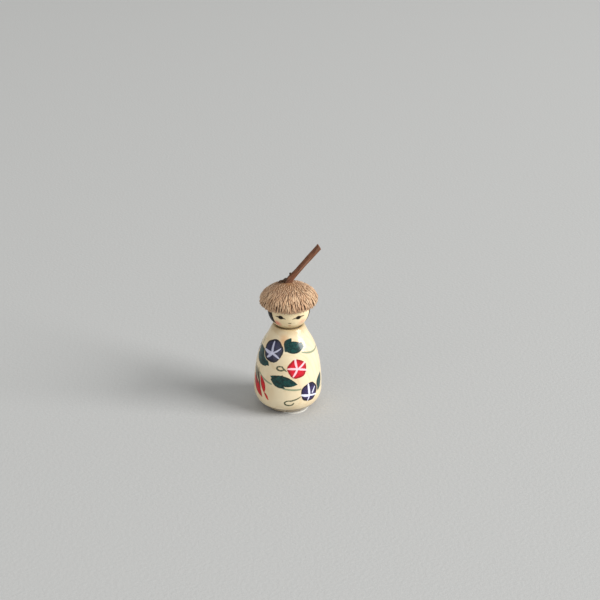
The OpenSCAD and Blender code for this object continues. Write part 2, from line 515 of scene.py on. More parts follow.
# each ray: turn and height of its tip, widths at the heart and the tip, bow
flowers = [
    {"kind": "indigo", "turn": -35, "height": 21.9, "size": 3.35, "wide": 1.03, "stretch": 1.0, "lobe": 0.03,
     "roll": 8, "heart": (-35, 21.3),
     "rays": [(-38, 24.6, 0.6, 0.3, 0.1), (-17, 23.1, 0.4, 0.2, -0.1), (-18, 20.2, 0.5, 0.3, 0.1),
              (-56, 21.6, 0.7, 0.5, 0.15), (-45, 19.7, 0.7, 0.4, 0.0)]},
    {"kind": "red", "turn": 18, "height": 17.0, "size": 3.1, "wide": 1.02, "stretch": 1.03, "lobe": 0.03,
     "roll": -10, "heart": (18, 17.0),
     "rays": [(15, 20.0, 0.35, 0.5, 0.12), (34, 18.8, 0.3, 0.45, -0.12), (36, 16.2, 0.4, 0.4, 0.1),
              (10, 14.7, 0.45, 0.35, 0.1), (0.5, 17.2, 0.45, 0.4, -0.1)]},
    {"kind": "purple", "turn": 41, "height": 8.5, "size": 3.2, "wide": 1.03, "stretch": 1.0, "lobe": 0.035,
     "roll": 14, "heart": (40.5, 7.3),
     "rays": [(38, 11.4, 0.6, 0.4, 0.0), (25, 8.1, 0.6, 0.5, 0.1), (57, 6.7, 0.45, 0.3, 0.0),
              (36.5, 5.6, 0.3, 0.2, 0.0)],
     "dashes": [((47, 8.0), (53, 9.6), 0.5)]},
    {"kind": "red", "turn": 146, "height": 20.6, "size": 3.0, "wide": 1.0, "stretch": 1.08, "lobe": 0.04,
     "roll": 20, "heart": (145, 20.3),
     "rays": [(146, 23.2, 0.5, 0.4, 0.1), (163, 21.4, 0.5, 0.35, -0.1), (155, 18.2, 0.5, 0.4, 0.1),
              (136, 18.4, 0.45, 0.35, 0.0), (129, 21.6, 0.5, 0.4, 0.1)]},
    {"kind": "indigo", "turn": -158, "height": 12.6, "size": 3.3, "wide": 1.02, "stretch": 1.0, "lobe": 0.03,
     "roll": -15, "heart": (-158, 12.3),
     "rays": [(-161, 15.4, 0.5, 0.4, 0.1), (-144, 13.6, 0.5, 0.35, 0.0), (-148, 10.2, 0.5, 0.4, 0.1),
              (-166, 9.9, 0.5, 0.35, 0.0), (-174, 13.2, 0.6, 0.4, -0.1)]},
    {"kind": "purple", "turn": -104, "height": 20.0, "size": 2.8, "wide": 1.0, "stretch": 1.06, "lobe": 0.04,
     "roll": 5, "heart": (-104, 19.7),
     "rays": [(-106, 22.5, 0.45, 0.35, 0.1), (-88, 20.8, 0.45, 0.3, 0.0), (-94, 17.8, 0.45, 0.35, 0.1),
              (-114, 18.0, 0.5, 0.3, 0.0), (-119, 21.0, 0.5, 0.3, -0.1)]},
    {"kind": "purple", "turn": 108, "height": 9.6, "size": 3.0, "wide": 1.02, "stretch": 1.0, "lobe": 0.035,
     "roll": -8, "heart": (108, 9.2),
     "rays": [(106, 12.3, 0.5, 0.4, 0.1), (121, 10.6, 0.5, 0.35, 0.0), (117, 7.2, 0.5, 0.35, 0.1),
              (99, 7.2, 0.45, 0.3, 0.0), (94, 10.0, 0.5, 0.4, -0.1)]}]

# leaves, a few pulls of a full brush each: from, to, widths at start, middle and end, bow to the left
leaves = [
    ((-82, 21.6), (-39, 17.4), (0.5, 4.2, 0.5), -0.3), ((-76, 18.8), (-45, 16.8), (1.6, 2.2, 0.2), -0.1),
    ((-4, 23.0), (9, 26.1), (1.4, 2.2, 0.15), 0.4), ((-4, 23.0), (37, 23.5), (1.1, 2.3, 0.9), -0.3),
    ((4, 23.9), (28, 24.3), (1.8, 1.9, 0.9), 0.15), ((20, 23.7), (38, 24.3), (1.0, 1.4, 0.3), 0.0),
    ((-31, 14.2), (17, 12.0), (0.3, 3.4, 0.2), 0.0), ((-20, 13.4), (-9, 15.0), (1.6, 1.2, 0.2), 0.1),
    ((-27, 13.2), (-5, 10.9), (1.2, 1.9, 0.3), -0.2),
    ((77, 12.8), (63, 7.4), (0.3, 3.4, 0.3), -0.5),
    ((-132, 21.9), (-164, 19.0), (0.4, 2.8, 0.3), 0.3), ((-142, 21.4), (-152, 23.0), (1.2, 1.3, 0.2), 0.0),
    ((122, 16.9), (152, 15.0), (0.3, 3.1, 0.3), 0.3), ((133, 15.8), (142, 13.4), (1.2, 1.3, 0.2), 0.0),
    ((178, 20.0), (-173, 24.6), (0.4, 2.4, 0.2), 0.4),
    ((-134, 8.6), (-104, 6.9), (0.4, 2.9, 0.2), 0.4), ((-122, 8.4), (-112, 10.2), (1.1, 1.3, 0.2), 0.0),
    ((-128, 15.6), (-96, 13.2), (0.3, 2.6, 0.2), -0.4),
    ((146, 10.6), (174, 6.6), (0.4, 2.9, 0.3), 0.5), ((92, 18.2), (112, 15.0), (0.4, 2.5, 0.3), 0.4)]

# vines: from, to, width, bow
vines = [
    ((-12, 23.0), (0, 23.0), 0.34, 0.2), ((32, 21.9), (84, 20.9), 0.6, -0.5),
    ((-84, 24.2), (-75, 22.4), 0.4, 0.0), ((-58, 13.8), (-29, 11.6), 0.62, -0.3),
    ((-7, 10.7), (25, 10.2), 0.62, -0.2), ((84, 20.9), (112, 18.6), 0.36, 0.5),
    ((112, 18.6), (140, 20.0), 0.28, -0.6), ((152, 22.6), (-178, 21.0), 0.28, 0.4),
    ((-178, 21.0), (-150, 20.2), 0.28, -0.4), ((-132, 21.9), (-112, 21.4), 0.26, 0.3),
    ((58, 8.6), (96, 9.0), 0.28, -0.7), ((120, 9.4), (146, 10.6), 0.28, 0.5),
    ((174, 6.6), (-165, 10.2), 0.28, -0.5), ((-146, 12.0), (-128, 15.6), 0.28, 0.4),
    ((-104, 6.9), (-80, 9.8), 0.28, -0.5)]

# tendrils: where the tail begins, then an open curl round a middle, its half width and height in mm,
# its first angle and how far round it goes, in degrees
curls = [
    {"tail": (1, 16.3), "at": (-13.5, 17.2), "half": (1.2, 0.62), "first": 60, "sweep": 270, "width": 0.5},
    {"tail": (24, 7.7), "at": (3.2, 5.6), "half": (1.35, 0.85), "first": 75, "sweep": 280, "width": 0.5},
    {"tail": (130, 22.6), "at": (118, 24.0), "half": (1.0, 0.7), "first": 0, "sweep": 260, "width": 0.44},
    {"tail": (-178, 15.6), "at": (-168, 17), "half": (1.0, 0.7), "first": 170, "sweep": -260, "width": 0.44},
    {"tail": (130, 6.2), "at": (141, 5.0), "half": (1.1, 0.7), "first": 100, "sweep": -270, "width": 0.44}]

# the unopened bud low on the viewer's left: stems first, then petals
budStems = [
    ((-80, 15.2), (-62, 9.8), (0.5, 1.1, 0.4), -0.1), ((-64, 15.0), (-53, 8.8), (0.3, 1.0, 0.3), -0.1),
    ((-72, 14.8), (-59, 11.0), (0.4, 0.9, 0.3), 0.0)]
budPetals = [
    ((-77, 11.8), (-48, 5.9), (0.6, 2.5, 0.2), -0.35), ((-54, 13.0), (-43, 7.9), (0.4, 2.0, 0.4), 0.3),
    ((-64, 11.0), (-49, 6.6), (0.3, 1.2, 0.2), 0.0), ((-43, 7.9), (-34.5, 5.8), (0.3, 0.85, 0.4), 0.1)]


def paintCurl(painting, curl):
    steps = 6
    # the body is about 10 mm in radius at the curls, so a millimetre round it is about this many degrees
    turnPerMm = 5.7
    turn, height = curl["at"]
    across, up = curl["half"]
    ring = []
    for i in range(steps + 1):
        angle = math.radians(curl["first"] + curl["sweep"] * i / steps)
        ring.append((turn + turnPerMm * across * math.cos(angle), height + up * math.sin(angle)))
    sag = 0.5 * (across + up) * (1 - math.cos(math.radians(abs(curl["sweep"]) / steps / 2)))
    bow = -sag if curl["sweep"] > 0 else sag
    wide = curl["width"]
    ink = bodyPaint["tendril"]
    paintLine(painting, curl["tail"], ring[0], (0.5 * wide, wide, wide), ink, 0.2, 0.14, 0.95)
    for i in range(steps):
        size = wide * (1.15 - 0.35 * abs(2 * i / steps - 1))
        paintLine(painting, ring[i], ring[i + 1], (size, size, size), ink, bow, 0.14, 0.95)


def paintRound(painting, height, wide, ink):
    # a line inked all the way round the body
    step = 60
    for turn in range(-180, 180, step):
        paintLine(painting, (turn, height), (turn + step, height), (wide, wide, wide), ink, 0.0, 0.14, 0.9)


def varnish(painting, shader, wood, coat, coatRoughness, woodRelief, paintRelief, fineRelief):
    # paint is a little smoother than the wood and stands a little above it
    tree = painting["tree"]
    cover = useGroup(tree, paintCover, {"Tint": painting["tint"], "Wood": painting["wood"]})["Cover"]
    rough = wood["Roughness"] - cover * 0.08
    others = {"Coat Weight": coat, "Coat Roughness": coatRoughness, "Specular IOR Level": 0.1}
    relief = wood["Relief"] * woodRelief + cover * paintRelief
    if fineRelief:
        relief = relief + painting["ground"]["Fine"] * fineRelief
    dressShader(tree, shader, painting["tint"], rough, relief, 0.5, 0.05, others)


def makeBodyWood():
    material, tree, shader = newMaterial("paintedBody")
    place = useGroup(tree, turnedPlace, {})
    wood = useGroup(tree, turnedWood, {"Ring share": 0.28, "Fibre share": 0.3})
    # painted shade: browner just under the head, where the head shades the body, and browner at the foot,
    # under the belly's overhang
    collar = place["Height"].remap(bodyPaint["collarLow"], bodyTop, 0.0, bodyPaint["collarShare"])
    shadedUnderHead = collar.mix(wood["Colour"], bodyPaint["collar"])
    # painted shade: darker towards the foot
    foot = place["Height"].remap(bodyPaint["footShadeHigh"], 0.0, 0.0, bodyPaint["footShadeShare"])
    painting = newPainting(tree, place, foot.mix(shadedUnderHead, bodyPaint["foot"]))
    # a warm painted shade under the chin, which then counts as part of the wood under the paint
    paintSpot(painting, bodyPaint["stain"], bodyPaint["underChinShadeAt"], bodyPaint["underChinShadeSize"],
              {"Strength": bodyPaint["underChinShadeShare"], "Wide": 0.8, "Softness": 2.4})
    painting["wood"] = painting["tint"]
    kinds = {name: mixPaint(painting, kind) for name, kind in paints.items()}
    for start, end, width, bow in vines:
        paintLine(painting, start, end, (width * 0.8, width, width * 0.8), bodyPaint["vine"], bow, 0.18, 0.9)
    for start, end, widths, bow in leaves:
        paintLeaf(painting, start, end, widths, bow, kinds["leaf"])
    for curl in curls:
        paintCurl(painting, curl)
    for start, end, widths, bow in budPetals:
        paintLeaf(painting, start, end, widths, bow, kinds["bud"])
    for start, end, widths, bow in budStems:
        paintLine(painting, start, end, widths, bodyPaint["stem"], bow, 0.18, 1.0)
    for flower in flowers:
        paintFlower(painting, flower, kinds[flower["kind"]])
    # one thin line above the foot, and a dark band at its edge that is partly a painted line and partly
    # painted shadow where the body meets the paper
    for line in ("ring", "edgeLineAndShadow"):
        paintRound(painting, bodyPaint[line + "Height"], bodyPaint[line + "Width"], bodyPaint[line])
    varnish(painting, shader, wood, bodyPaint["coat"], bodyPaint["coatRoughness"], 0.35, 0.8, 0.12)
    return material


# the head's heights are mm along the ball from its equator
facePaint = {
    "ink": colour(20, 14, 6), "thinInk": colour(110, 100, 66), "hair": colour(9, 7, 5),
    "strand": colour(32, 27, 20), "nose": colour(84, 60, 34), "mouth": colour(186, 84, 60),
    # painted shade under the chin: its colour, where it starts and ends on the ball, and how strong
    "cheek": colour(224, 100, 92), "chin": colour(140, 112, 52), "chinHigh": -3.6, "chinLow": -5.6,
    "chinShare": 0.6, "coat": 0.25, "hairCoat": 0.03, "coatRoughness": 0.16, "eyeSize": 0.63, "eyeWide": 1.32,
    "lid": (0.14, 0.5, 0.16), "lowerLid": (0.08, 0.12, 0.08)}
eyes = [
    {"pupil": (-21.5, -0.55), "outer": (-37, -0.5), "inner": (-8, -0.95), "bow": 0.26, "open": 0.5},
    {"pupil": (27.5, -0.6), "outer": (47, -0.38), "inner": (11, -0.95), "bow": -0.26, "open": -0.5}]
cheeks = [{"at": (-35, -3.3), "size": 0.95, "share": 0.75}, {"at": (44, -2.7), "size": 1.0, "share": 0.32}]
hair = {"middle": 10.5, "half": 60.5, "slant": 2.2, "hem": -3.0, "lock": 0.9, "lockWide": 30, "ragged": 1.4,
        "uneven": 4.0, "frontSoft": 1.5, "hemSoft": 0.15}


def paintHair(painting, place):
    # the bob: black behind the ears' line, with a ragged hem; returns where it is
    half = hair["half"]
    aside = turnBetween(place["Turn"], hair["middle"]).calc("ABSOLUTE")
    front = aside + (painting["ground"]["Fine"] - 0.5) * hair["uneven"] - place["Height"] * hair["slant"]
    front = front.remap(half - hair["frontSoft"], half + hair["frontSoft"])
    strands = speckle(place["Flat"], 1.0, 2.0, 0.5, (2.6, 0.4, 1.0))
    # the front locks hang a little lower
    hem = place["Height"] + (strands - 0.5) * hair["ragged"]
    hem = hem + aside.remap(half + hair["lockWide"], half, 0.0, hair["lock"])
    mask = front * hem.remap(hair["hem"] - hair["hemSoft"], hair["hem"] + hair["hemSoft"])
    shine = strands.remap(0.45, 0.7, 0.0, 0.3).mix(facePaint["hair"], facePaint["strand"])
    painting["tint"] = mask.mix(painting["tint"], shine)
    return mask


def makeHeadWood():
    material, tree, shader = newMaterial("paintedHead")
    place = useGroup(tree, turnedPlace, {"Centre": headMiddle, "Ball": headRadius})
    wood = useGroup(tree, turnedWood, {
        "Light": colour(240, 222, 182), "Warm": colour(226, 196, 146), "Pith X": -3.0, "Pith Y": 7.0,
        "Ring gap": 1.3, "Ring share": 0.22, "Fibre share": 0.25})
    # painted shade under the chin, on the head's underside
    chin = place["Height"].remap(facePaint["chinHigh"], facePaint["chinLow"], 0.0, facePaint["chinShare"])
    painting = newPainting(tree, place, chin.mix(wood["Colour"], facePaint["chin"]))
    for cheek in cheeks:
        paintSpot(painting, facePaint["cheek"], cheek["at"], cheek["size"], {
            "Strength": cheek["share"], "Wide": 1.1, "Softness": 1.3, "Wobble": painting["ground"]["Edge"]})
    hairMask = paintHair(painting, place)
    ink, thinInk = facePaint["ink"], facePaint["thinInk"]
    for eye in eyes:
        outer, inner, bow = eye["outer"], eye["inner"], eye["bow"]
        paintLine(painting, outer, inner, facePaint["lid"], ink, bow, 0.1, 1.0, 0.1)
        paintLine(painting, outer, inner, facePaint["lowerLid"], thinInk, bow - eye["open"], 0.12, 0.7, 0.1)
        paintSpot(painting, ink, eye["pupil"], facePaint["eyeSize"],
                  {"Wide": facePaint["eyeWide"], "Softness": 0.1})
    paintLine(painting, (-0.5, -2.5), (8, -2.5), (0.24, 0.44, 0.28), facePaint["nose"], -0.12, 0.14, 0.9)
    paintLine(painting, (0.5, -3.75), (9, -3.75), (0.2, 0.42, 0.2), facePaint["mouth"], -0.08, 0.16, 0.85)
    # the black is flatter than the varnished face
    coat = hairMask.remap(0.0, 1.0, facePaint["coat"], facePaint["hairCoat"])
    varnish(painting, shader, wood, coat, facePaint["coatRoughness"], 0.3, 0.5, 0)
    return material


def dressNode(name, material):
    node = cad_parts[name]
    if not node.material_slots:
        node.data.materials.append(material)
    for slot in node.material_slots:
        slot.material = material


dressNode("body", makeBodyWood())
print("body painted")
dressNode("head", makeHeadWood())
print("head painted")


# the acorn cup, in mm and degrees
cup = {"across": 18.0, "tall": 6.8, "girth": 1.3, "wall": 1.2, "lean": -2.5, "draw": 0.45, "rimWall": 0.9,
       "sink": 0.45, "guideGap": 0.05, "overEquator": 2.0, "sides": 144, "scales": 900, "scaleWide": 0.67,
       "scaleLong": 2.2, "scaleThick": 0.44, "tipLift": 6.0, "bend": 0.5, "rim": 0.05, "crown": 0.994,
       "seed": 7}
cup["rimZ"] = headMiddle + cup["overEquator"]
cupPlace = Matrix.Translation((0, 0, cup["rimZ"] * mm)) @ Matrix.Rotation(math.radians(cup["lean"]), 4, "Y")


def bendLine(a, b, c, d, steps=24):
    # points along a smooth bend that leaves a towards b and comes to d from c
    points = []
    for i in range(steps + 1):
        t = i / steps
        points.append(tuple((1 - t) ** 3 * p + 3 * t * (1 - t) ** 2 * q + 3 * t * t * (1 - t) * r + t ** 3 * s
                            for p, q, r, s in zip(a, b, c, d)))
    return points


def cupOutline(sink):
    # half outline from the rim to the crown; sink draws it in a little under the scales
    r = cup["across"] / 2 - sink
    rim = r - cup["draw"]
    h = cup["tall"] - 0.3 * sink
    low = bendLine((rim, 0), (rim + 0.35, 0.25), (r, 0.4 * cup["girth"]), (r, cup["girth"]))
    high = bendLine((r, cup["girth"]), (r, 0.6 * h), (0.52 * r, 0.86 * h), (0, h), 40)
    return low + high[1:]


def linkObject(name, mesh):
    made = bpy.data.objects.new(name, mesh)
    bpy.context.scene.collection.objects.link(made)
    return made


def makeObject(name, bm, material):
    mesh = bpy.data.meshes.new(name)
    bm.to_mesh(mesh)
    bm.free()
    for face in mesh.polygons:
        face.use_smooth = True
    mesh.materials.append(material)
    return linkObject(name, mesh)


def joinHat(pieces, replaced):
    # the pieces ride with the head, and the first of them stands in for the plain CAD node
    for piece in pieces:
        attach(piece, "head_and_hat")
    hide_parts(replaced)


def turnOutline(bm, outline, sides):
    # spins a closed half outline round Z; points on the axis become one vertex each
    rings = []
    for radius, height in outline:
        if radius < 1e-6:
            rings.append([bm.verts.new((0, 0, height * mm))])
        else:
            rings.append([bm.verts.new((radius * mm * math.cos(a), radius * mm * math.sin(a), height * mm))
                          for a in (2 * math.pi * i / sides for i in range(sides))])
    for low, high in zip(rings, rings[1:]):
        for i in range(sides):
            j = (i + 1) % sides
            corners = [low[i % len(low)], low[j % len(low)], high[j % len(high)], high[i % len(high)]]
            bm.faces.new(list(dict.fromkeys(corners)))


def makeHusk():
    # dry scale skin: pale worn ridges, painted shade in the grooves where the scales meet, darker tips
    material, tree, shader = newMaterial("acornHusk")
    spot = objectMm(tree)
    tone, along, across = [attribute(tree, name) for name in ("scaleTone", "scaleAlong", "scaleAcross")]
    fleck = speckle(spot, 3.0, 4.0, 0.6)
    cloud = speckle(spot, 0.22, 2.0, 0.5)
    fibre = speckle(joinXyz(tree, across * 5.0, along * 1.2, tone * 37.0), 1.6, 3.0, 0.6)
    base = tone.remap(0.0, 1.0).mix(colour(200, 160, 122), colour(234, 202, 164))
    base = cloud.remap(0.35, 0.65, 0.0, 0.45).mix(base, colour(186, 138, 104))
    # painted shade along each scale's sides, where it meets its neighbours
    scaleGapShade = across.calc("ABSOLUTE").remap(0.30, 0.95, kind="SMOOTHSTEP")
    base = (scaleGapShade * 0.95).mix(base, colour(78, 50, 30))
    base = along.remap(0.86, 1.0, 0.0, 0.35).mix(base, colour(120, 82, 52))
    base = along.remap(0.55, 0.2, 0.0, 0.8).mix(base, colour(104, 68, 42))
    base = fibre.remap(0.5, 0.75, 0.0, 0.4).mix(base, colour(140, 98, 68))
    base = fleck.remap(0.6, 0.8, 0.0, 0.3).mix(base, colour(236, 212, 184))
    others = {"Sheen Weight": 0.25, "Sheen Roughness": 0.5, "Specular IOR Level": 0.3}
    rough = fleck.remap(0.3, 0.7, 0.7, 0.9)
    dressShader(tree, shader, base, rough, fibre + fleck * 0.5, 0.6, 0.08, others)
    return material


def makeCupSkin():
    # the cup itself, seen between the scales, round the rim and inside
    material, tree, shader = newMaterial("acornShell")
    spot = objectMm(tree)
    x, y, z = spot.split()
    felt = speckle(spot, 1.0, 4.0, 0.6, (4.0, 4.0, 1.5))
    low = z.remap(cup["rimZ"] - 0.3, cup["rimZ"] + 0.5, 1.0, 0.0)
    inner = hypotenuse(x, y).remap(7.6, 8.3, 1.0, 0.0)
    base = felt.mix(colour(84, 54, 34), colour(124, 86, 56))
    base = (low * 0.7).mix(base, colour(186, 150, 112))
    base = (inner * 0.6).mix(base, colour(170, 128, 90))
    rough = felt.remap(0.3, 0.7, 0.75, 0.95)
    dressShader(tree, shader, base, rough, felt, 0.7, 0.1, {"Specular IOR Level": 0.3})
    return material


def keepValue(geometry, name, value, domain):
    return wire(geometry.tree, "GeometryNodeStoreNamedAttribute",
                {"Geometry": geometry, "Name": name, "Value": value}, data_type="FLOAT", domain=domain)


def makeScaleShape(tree, given):
    # one scale: a flattened ball drawn out to a point, with a keel along its back
    ball = wire(tree, "GeometryNodeMeshUVSphere", {"Segments": 8, "Rings": 6, "Radius": 1.0})
    x, y, z = wire(tree, "GeometryNodeInputPosition").split()
    along = (z + 1.0) * 0.5
    narrow = 1.0 - along.calc("POWER", 3.0) * 0.45
    wide = x * narrow * (given["Scale width"] * (0.5 * mm))
    long = along * (given["Scale length"] * mm)
    keel = 1.0 - x.calc("ABSOLUTE") * 0.55
    high = y * -1.0 * keel * (given["Scale thickness"] * (0.5 * mm))
    high = high - along.calc("POWER", 2.0) * (given["Bend"] * mm)
    scale = keepValue(ball, "scaleAlong", along, "POINT")
    scale = keepValue(scale, "scaleAcross", x, "POINT")
    shape = joinXyz(tree, wide, long, high)
    shaped = wire(tree, "GeometryNodeSetPosition", {"Geometry": scale, "Position": shape})
    return wire(tree, "GeometryNodeSetShadeSmooth", {0: shaped})


def makeScaleTree():
    # lays pointed scales over the cup in one spiral, a golden-angle turn apart, tips towards the rim
    goldenTurn = 2.39996
    tree, given, give = newGroup("cupScales", {
        "Geometry": "Geometry", "Scales": 600, "Scale width": 0.8, "Scale length": 2.5,
        "Scale thickness": 0.4, "Tip lift": 5.0, "Bend": 0.3, "Rim": 0.2, "Crown": 0.98, "Seed": 1,
        "Material": "Material"}, ("Geometry",), "Geometry")

    def randomIn(low, high, shift):
        values = {2: low, 3: high, "Seed": given["Seed"] + float(shift)}
        node = addNode(tree, "FunctionNodeRandomValue", values, data_type="FLOAT")
        return Wire(tree, node.outputs[1])
    # the outline as a row of points, each knowing what share of the cup's area lies below it
    line = wire(tree, "GeometryNodeMeshToCurve", {0: given["Geometry"]})
    row = addNode(tree, "GeometryNodeCurveToPoints", {0: line, "Count": 400}, mode="COUNT")
    here = wire(tree, "GeometryNodeInputPosition")
    radius = here.split()[0]
    total = addNode(tree, "GeometryNodeAccumulateField", {0: radius}, data_type="FLOAT", domain="POINT")
    share = Wire(tree, total.outputs[0]) / Wire(tree, total.outputs[2])
    ruler = wire(tree, "GeometryNodeSetPosition",
                 {"Geometry": row.outputs[0], "Position": joinXyz(tree, share, 0.0, 0.0)})
    # the spiral: each scale finds its place on the outline by its share of the area
    number = wire(tree, "GeometryNodeInputIndex")
    cloud = wire(tree, "GeometryNodePoints", {"Count": given["Scales"]})
    rank = given["Rim"] + (number + 0.5) / given["Scales"] * (given["Crown"] - given["Rim"])
    find = wire(tree, "GeometryNodeSampleNearest",
                {"Geometry": ruler, "Sample Position": joinXyz(tree, rank, 0.0, 0.0)}, domain="POINT")

    def sample(value):
        values = {"Geometry": row.outputs[0], "Value": value, "Index": find}
        return wire(tree, "GeometryNodeSampleIndex", values, data_type="FLOAT_VECTOR", domain="POINT")
    place = sample(here)
    climb = sample(row.outputs["Tangent"])
    outward = wire(tree, "ShaderNodeVectorMath", {0: (0, 1, 0), 1: climb}, operation="CROSS_PRODUCT")
    angle = number * goldenTurn + randomIn(-0.025, 0.025, 1)

    def spun(vector):
        values = {"Vector": vector, "Angle": angle}
        return wire(tree, "ShaderNodeVectorRotate", values, rotation_type="Z_AXIS")
    axes = {0: spun(outward), 1: spun(climb.stretch((-1, -1, -1)))}
    facing = wire(tree, "FunctionNodeAxesToRotation", axes, primary_axis="Z", secondary_axis="Y")
    lift = (given["Tip lift"] + randomIn(-3.0, 4.0, 2)).calc("RADIANS")
    swing = randomIn(-9.0, 9.0, 3).calc("RADIANS")
    tilt = wire(tree, "FunctionNodeEulerToRotation", {0: joinXyz(tree, lift, 0.0, swing)})
    turn = wire(tree, "FunctionNodeRotateRotation", {0: facing, 1: tilt}, rotation_space="LOCAL")
    placed = wire(tree, "GeometryNodeSetPosition", {"Geometry": cloud, "Position": spun(place)})
    # scales are smaller towards the crown and shorter round the rim
    size = rank.remap(0.75, 1.0, 1.0, 0.6) * randomIn(0.85, 1.15, 4)
    short = rank.remap(0.04, 0.3, 0.42, 1.0)
    sized = joinXyz(tree, size * randomIn(0.85, 1.15, 5), size * short, randomIn(0.8, 1.2, 6))
    laid = wire(tree, "GeometryNodeInstanceOnPoints", {
        "Points": placed, "Instance": makeScaleShape(tree, given), "Rotation": turn, "Scale": sized})
    toned = keepValue(laid, "scaleTone", randomIn(0.0, 1.0, 7), "INSTANCE")
    real = wire(tree, "GeometryNodeRealizeInstances", {0: toned})
    painted = wire(tree, "GeometryNodeSetMaterial", {"Geometry": real, "Material": given["Material"]})
    spreadNodes(tree)
    return give({"Geometry": painted})


def setInputs(modifier, values):
    for item in modifier.node_group.interface.items_tree:
        if item.item_type == "SOCKET" and item.in_out == "INPUT" and item.name in values:
            modifier[item.identifier] = values[item.name]


def makeCupShell(skin):
    # a closed solid with the hollow that sits on the head
    bm = bmesh.new()
    inR = cup["across"] / 2 - cup["draw"] - cup["rimWall"]
    inH = cup["tall"] - cup["wall"]
    inside = bendLine((inR, 0.05), (inR, 0.66 * cup["tall"]), (0.56 * inR, inH), (0, inH))
    turnOutline(bm, cupOutline(cup["sink"])[::-1] + inside, cup["sides"])
    bmesh.ops.recalc_face_normals(bm, faces=bm.faces)
    bm.transform(cupPlace)
    return makeObject("cupShell", bm, skin)


def makeCupScales(husk):
    # the scales, from the same outline
    bm = bmesh.new()
    outline = cupOutline(cup["sink"] + cup["guideGap"])
    verts = [bm.verts.new((radius * mm, 0, height * mm)) for radius, height in outline]
    for pair in zip(verts, verts[1:]):
        bm.edges.new(pair)
    guide = makeObject("cupGuide", bm, husk)
    modifier = guide.modifiers.new("scales", "NODES")
    modifier.node_group = makeScaleTree()
    setInputs(modifier, {
        "Scales": cup["scales"], "Scale width": cup["scaleWide"], "Scale length": cup["scaleLong"],
        "Scale thickness": cup["scaleThick"], "Tip lift": cup["tipLift"], "Bend": cup["bend"],
        "Rim": cup["rim"], "Crown": cup["crown"], "Seed": cup["seed"], "Material": husk})
    bpy.context.view_layer.update()
    graph = bpy.context.evaluated_depsgraph_get()
    mesh = bpy.data.meshes.new_from_object(guide.evaluated_get(graph))
    guide.modifiers.clear()
    bpy.data.objects.remove(guide)
    mesh.name = "cupScales"
    mesh.transform(cupPlace)
    print("scales laid:", len(mesh.polygons), "faces")
    return linkObject("cupScales", mesh)


huskSkin = makeHusk()
shellSkin = makeCupSkin()
joinHat([makeCupShell(shellSkin), makeCupScales(huskSkin)], "acorn_cup")


# the stalk: foot and bend are places from the top of the cup, the rest is in mm and degrees
stalk = {"across": 1.92, "long": 14.3, "lean": 40.0, "back": 0.09, "slant": 17.0, "knee": 0.16,
         "kneeReach": 0.7, "foot": (-0.7, 0.6, -1.4), "bend": (0.1, 0.8, 0.45), "footWide": 1.5,
         "tipSwell": 0.04, "sides": 40, "steps": 96, "ridges": 0.06, "crook": 0.05, "cutLong": 1.6,
         "cutBack": 0.26, "seed": 3}
cupTop = Vector((0, 0, cup["rimZ"] + cup["tall"]))
# the cut end's rings: share of its radius, how far out of it in mm, mark for the paint
cutRings = ((0.9, 0.0, 0.3), (0.6, -0.04, 0.5), (0.28, -0.07, 0.75), (0.12, -0.18, 1.0))
# withered flower scars beside the foot, and one nub on the stalk's back: place from the cup's top, half sizes
scarBlobs = [
    ((-0.95, 0.55, 0.6), (0.6, 0.5, 0.55)), ((-1.3, 0.6, 0.2), (0.7, 0.55, 0.45)),
    ((-1.9, 0.8, 0.0), (0.62, 0.5, 0.36)), ((-2.6, 0.9, -0.25), (0.55, 0.5, 0.34)),
    ((0.4, 0.6, 2.5), (0.42, 0.36, 0.42)), ((-3.2, 0.6, -0.45), (0.42, 0.35, 0.27))]


def makeBark():
    # dried stalk: brown with long furrows, pale on the ridges as a painted highlight with some dust, darker
    # near the foot
    material, tree, shader = newMaterial("stalkBark")
    spot = objectMm(tree)
    along, swell, cut = [attribute(tree, name) for name in ("stalkAlong", "stalkRidge", "stalkCut")]
    leant = wire(tree, "ShaderNodeMapping", {
        "Vector": spot, "Rotation": (0.0, math.radians(stalk["lean"]), 0.0)}, vector_type="TEXTURE")
    fibre = speckle(leant, 1.0, 5.0, 0.65, (3.2, 3.2, 0.35))
    grain = speckle(leant, 1.0, 3.0, 0.6, (9.0, 9.0, 1.4))
    patch = speckle(spot, 0.45, 3.0, 0.55)
    base = fibre.remap(0.35, 0.65).mix(colour(76, 44, 29), colour(140, 92, 64))
    base = patch.remap(0.4, 0.65, 0.0, 0.5).mix(base, colour(116, 70, 48))
    # painted highlight with some dust: paler on the ridges
    base = swell.remap(0.2, 1.0, 0.0, 0.55).mix(base, colour(158, 120, 96))
    base = grain.remap(0.58, 0.72, 0.0, 0.6).mix(base, colour(58, 34, 24))
    base = along.remap(2.6, 0.0, 0.0, 0.5).mix(base, colour(66, 44, 28))
    # the cut end: paler wood, with a dark pith and skin
    face = grain.remap(0.4, 0.65).mix(colour(126, 82, 56), colour(88, 54, 38))
    base = cut.remap(0.0, 0.25).mix(base, face)
    base = cut.remap(0.72, 0.92, 0.0, 0.8).mix(base, colour(52, 32, 22))
    rough = fibre.remap(0.3, 0.7, 0.62, 0.85)
    dressShader(tree, shader, base, rough, fibre + grain * 0.5, 0.7, 0.12, {"Specular IOR Level": 0.35})
    return material


def makeScarWood():
    material, tree, shader = newMaterial("witheredScar")
    crumb = speckle(objectMm(tree), 3.5, 4.0, 0.65)
    base = crumb.remap(0.4, 0.7).mix(colour(44, 30, 20), colour(108, 76, 48))
    dressShader(tree, shader, base, crumb.remap(0.3, 0.7, 0.7, 0.9), crumb, 0.8, 0.15)
    return material


